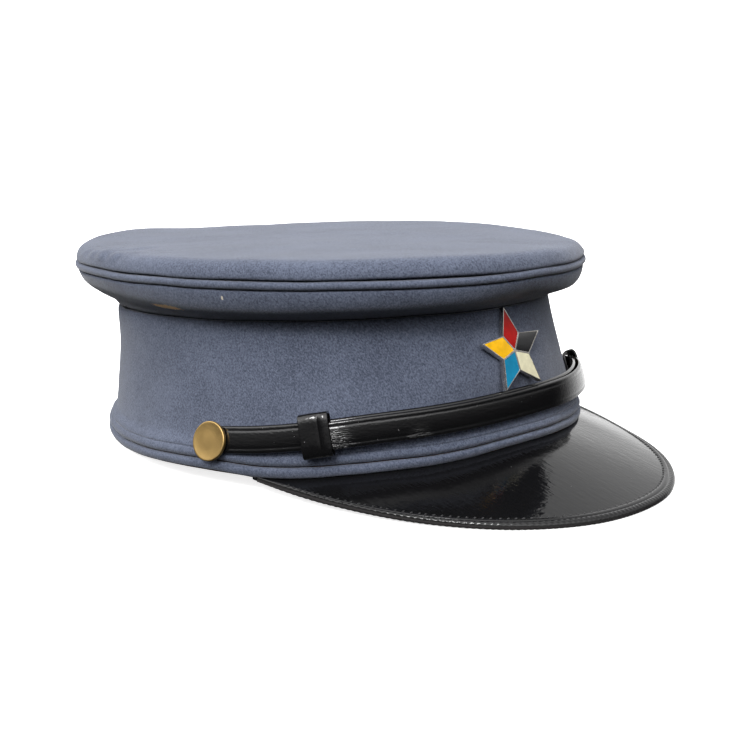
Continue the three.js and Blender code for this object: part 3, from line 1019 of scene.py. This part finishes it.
bpy.ops.object.select_all(action="DESELECT")
bpy.ops.mesh.primitive_circle_add(vertices=10, radius=star_radius * mm, fill_type="NGON")
star = bpy.context.object
star.name = "star_badge"
for vertex in star.data.vertices:
    if vertex.index % 2:
        vertex.co *= star_waist / star_radius
bpy.ops.object.mode_set(mode="EDIT")
bpy.ops.mesh.select_all(action="SELECT")
bpy.ops.mesh.extrude_region_move(TRANSFORM_OT_translate={"value": (0, 0, star_thickness * mm)})
bpy.ops.mesh.poke()
bpy.ops.object.mode_set(mode="OBJECT")
middle = min(star.data.vertices, key=lambda vertex: vertex.co.xy.length).index
select_faces(star, lambda face: False)
bpy.ops.mesh.select_mode(type="EDGE")
bpy.ops.object.mode_set(mode="OBJECT")
for edge in star.data.edges:
    ends = [star.data.vertices[k].co.xy.length for k in edge.vertices]
    edge.select = middle in edge.vertices and max(ends) > star_radius * 0.9 * mm
bpy.ops.object.mode_set(mode="EDIT")
bpy.ops.mesh.dissolve_edges(use_verts=False)
select_faces(star, lambda face: face.normal.z > 0.9 and face.center.z > star_thickness * 0.9 * mm)
bpy.ops.mesh.inset(thickness=cell_wall * mm, use_individual=True)
bpy.ops.mesh.bevel(offset=0.35 * mm, segments=3, affect="VERTICES")
select_faces(star, lambda face: face.normal.z > 0.9 and face.area > cell_area * mm * mm)
bpy.ops.mesh.duplicate()
bpy.ops.mesh.separate(type="SELECTED")
bpy.ops.object.mode_set(mode="OBJECT")
enamel_faces = [o for o in bpy.context.selected_objects if o is not star][0]

select_faces(star, lambda face: face.normal.z > 0.9 and face.area > cell_area * mm * mm)
bpy.ops.mesh.inset(thickness=0.02 * mm, depth=-cell_depth * mm, use_individual=True)
bpy.ops.object.mode_set(mode="OBJECT")
close_ends(star)
round_edges(star, 0.1, 2, 40)
bpy.ops.object.select_all(action="DESELECT")
post_middle = (0, 0, badge_post_middle * mm)
bpy.ops.mesh.primitive_cylinder_add(
    vertices=24, radius=post_radius * mm, depth=badge_post_length * mm, location=post_middle
)
star.select_set(True)
bpy.context.view_layer.objects.active = star
bpy.ops.object.join()
star.data.transform(badge_axes)
fit(star, nickel, "nickel", "badge_star")

# Enamel: glass colours fired into the cells of the star, ground smooth.
# Each fills its cell almost to the wall and rounds off at its edge.
cell_gap = 0.08
cell_clear = 0.1
enamel_colours = {
    "red": (0.42, 0.012, 0.01, 1),
    "yellow": (0.93, 0.5, 0.01, 1),
    "blue": (0.006, 0.2, 0.36, 1),
    "white": (0.7, 0.66, 0.46, 1),
    "black": (0.008, 0.008, 0.009, 1),
}


def enamel_finish(name, colour):
    gloss = 0.9 if name == "black_enamel" else 0.2
    material, shader, place = new_finish(name, {"Specular IOR Level": gloss})
    clouds = place.grain(3, 3)
    deep = tuple(0.82 * value for value in colour[:3]) + (1,)
    place.feed(
        shader,
        {
            "Base Color": clouds.between(0.3, 0.7).colours(deep, colour),
            "Roughness": clouds * 0.1 + 0.07,
            "Normal": clouds.relief(0.02),
        },
    )
    return material


bpy.ops.object.select_all(action="DESELECT")
enamel_faces.select_set(True)
bpy.context.view_layer.objects.active = enamel_faces
bpy.ops.object.mode_set(mode="EDIT")
bpy.ops.mesh.select_all(action="SELECT")
bpy.ops.mesh.separate(type="LOOSE")
bpy.ops.object.mode_set(mode="OBJECT")
cells = list(bpy.context.selected_objects)
cells.sort(key=lambda cell: math.atan2(*(-cell.data.polygons[0].center.xy)) % math.tau)
turned_order = ["blue", "yellow", "red", "black", "white"]
for cell, colour in zip(cells, turned_order):
    cell.name = "enamel_cell_" + colour
    select_faces(cell, lambda face: True)
    bpy.ops.mesh.inset(thickness=cell_gap * mm)
    bpy.ops.object.mode_set(mode="OBJECT")
    bpy.ops.object.select_all(action="DESELECT")
    finish_with(cell, "SOLIDIFY", thickness=(cell_depth - cell_clear) * mm, offset=-1)
    round_edges(cell, 0.12, 3, 40)
    cell.data.transform(badge_axes @ Matrix.Translation((0, 0, -0.06 * mm)))
    glaze = colour + "_enamel"
    fit(cell, enamel_finish(glaze, enamel_colours[colour]), glaze, "enamel_" + colour)

# Stage: a wide pale floor that takes a faint shadow, the camera where the photograph was taken from,
# and the soft light of a room with a large window. The background is plain white.
floor_size = 60
floor_glow = 0.78
bpy.ops.object.select_all(action="DESELECT")
bpy.ops.mesh.primitive_plane_add(size=floor_size)
floor = bpy.context.object
floor.name = "pale_floor"
floor.visible_diffuse = False
floor.visible_glossy = False
paper = {"Specular IOR Level": 0, "Roughness": 1}
floor_finish, floor_shader, floor_place = new_finish("pale_paper", paper)
floor_place.feed(
    floor_shader,
    {
        "Base Color": floor_place.grain(300, 2).colours((0.86, 0.86, 0.86, 1), (0.89, 0.89, 0.89, 1)),
        "Emission Color": (1, 1, 1, 1),
        "Emission Strength": floor_glow,
    },
)
floor.data.materials.append(floor_finish)

camera_azimuth = -41.7
camera_elevation = 12.71
camera_distance = 0.42
camera_roll = -0.8
camera_target = Vector((0, head_middle - 21.11 * mm, 24.39 * mm))
camera_lens = 50.47
azimuth = math.radians(camera_azimuth)
elevation = math.radians(camera_elevation)
roll = math.radians(camera_roll)
back = Vector(
    (math.sin(azimuth) * math.cos(elevation), -math.cos(azimuth) * math.cos(elevation), math.sin(elevation))
)
level = Vector((math.cos(azimuth), math.sin(azimuth), 0))
upright = back.cross(level)
across_view = level * math.cos(roll) + upright * math.sin(roll)
up_view = upright * math.cos(roll) - level * math.sin(roll)
bpy.ops.object.camera_add()
camera = bpy.context.object
camera.data.lens = camera_lens
camera.data.sensor_width = 36
camera.matrix_world = Matrix.Translation(camera_target + back * camera_distance) @ (
    Matrix((across_view, up_view, back)).transposed().to_4x4()
)
bpy.context.scene.camera = camera

# Brightness of the room: a large window high on the camera's side, a pale wall behind the cap, and a dark
# table round it
window_glow = 3.4
window_fade = 2.1
window_near = 0.85
window_left = 0.84
window_right = 0.24
wall_glow = 1.4
wall_upper = 0.57
overhead_glow = 1.06
table_glow = 0.02
room_glow = 0.4
world = bpy.data.worlds.new("studio")
world.use_nodes = True
bpy.context.scene.world = world
room = Wire(world.node_tree)
direction = room.add("ShaderNodeTexCoord", {}, {}, "Generated")
height = direction.add("ShaderNodeSeparateXYZ", {}, {0: direction}, "Z")
flat = 1.001 - height * height


def towards(side):
    """Square of the cosine between the direction and a level one, 0 on its far side."""
    product = {"operation": "DOT_PRODUCT"}
    share = direction.add("ShaderNodeVectorMath", product, {0: direction, 1: side}, "Value")
    near = room.maths("MAXIMUM", share, 0)
    return room.maths("DIVIDE", near * near, flat)


nearer = Vector((back.x, back.y, 0)).normalized()
sides = towards(nearer) * window_near + towards(-level) * window_left + towards(level) * window_right
window = height.between(0.3, 0.5) * window_glow - height.between(0.74, 0.98) * window_fade
wall = height.between(-0.45, -0.2) * wall_glow - height.between(0, 0.36) * (wall_glow - wall_upper)
glow = table_glow + sides * window + towards(-nearer).between(0.1, 0.7) * wall
glow = glow + height.between(0, 0.3) * room_glow + height.between(0.85, 1) * overhead_glow
seen = room.add("ShaderNodeLightPath", {}, {}, "Is Camera Ray")
backdrop = {"Strength": room.maths("MAXIMUM", glow, seen), "Color": (1, 1, 1, 1)}
room.feed(world.node_tree.nodes["Background"], backdrop)
bpy.context.scene.view_settings.view_transform = "Standard"

# A small bright part of the window, for glints
sun_height = math.radians(42)
sun_turn = math.radians(22)
sun_width = math.radians(15)
sun_energy = 1.75
sunward = (nearer * math.cos(sun_turn) - level * math.sin(sun_turn)) * math.cos(sun_height)
sunward.z = math.sin(sun_height)
bpy.ops.object.light_add(type="SUN")
window_sun = bpy.context.object
window_sun.name = "window_sun"
window_sun.data.angle = sun_width
window_sun.data.energy = sun_energy
window_sun.rotation_mode = "QUATERNION"
window_sun.rotation_quaternion = (-sunward).to_track_quat("-Z", "Y")
